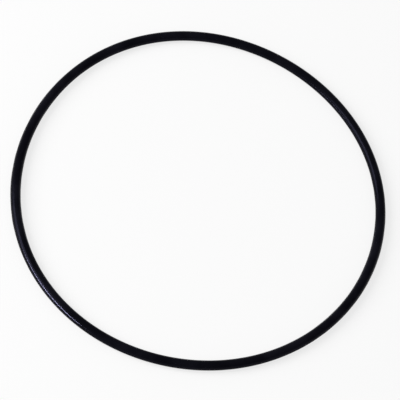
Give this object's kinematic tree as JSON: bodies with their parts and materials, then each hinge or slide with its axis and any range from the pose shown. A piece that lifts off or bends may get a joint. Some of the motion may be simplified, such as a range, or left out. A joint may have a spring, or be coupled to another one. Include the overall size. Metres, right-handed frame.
{
  "type": "rubber o-ring",
  "caption": "Moulded black rubber o-ring: a slim closed ring of round cord that seals a groove round a cap, housing or flange.",
  "frame": {"origin": "centre of the ring, on the mould's parting plane, halfway up the cord", "axes": "+Z along the ring's axis; the ring lies flat in the XY plane, and its cord reaches down to Z = -1.765 mm"},
  "size_m": [0.1338, 0.1338, 0.0036],
  "materials": {
    "black_rubber": "satin, smooth as moulded"
  },
  "bodies": {
    "root": {"o_ring": "black_rubber"}
  },
  "joints": []
}
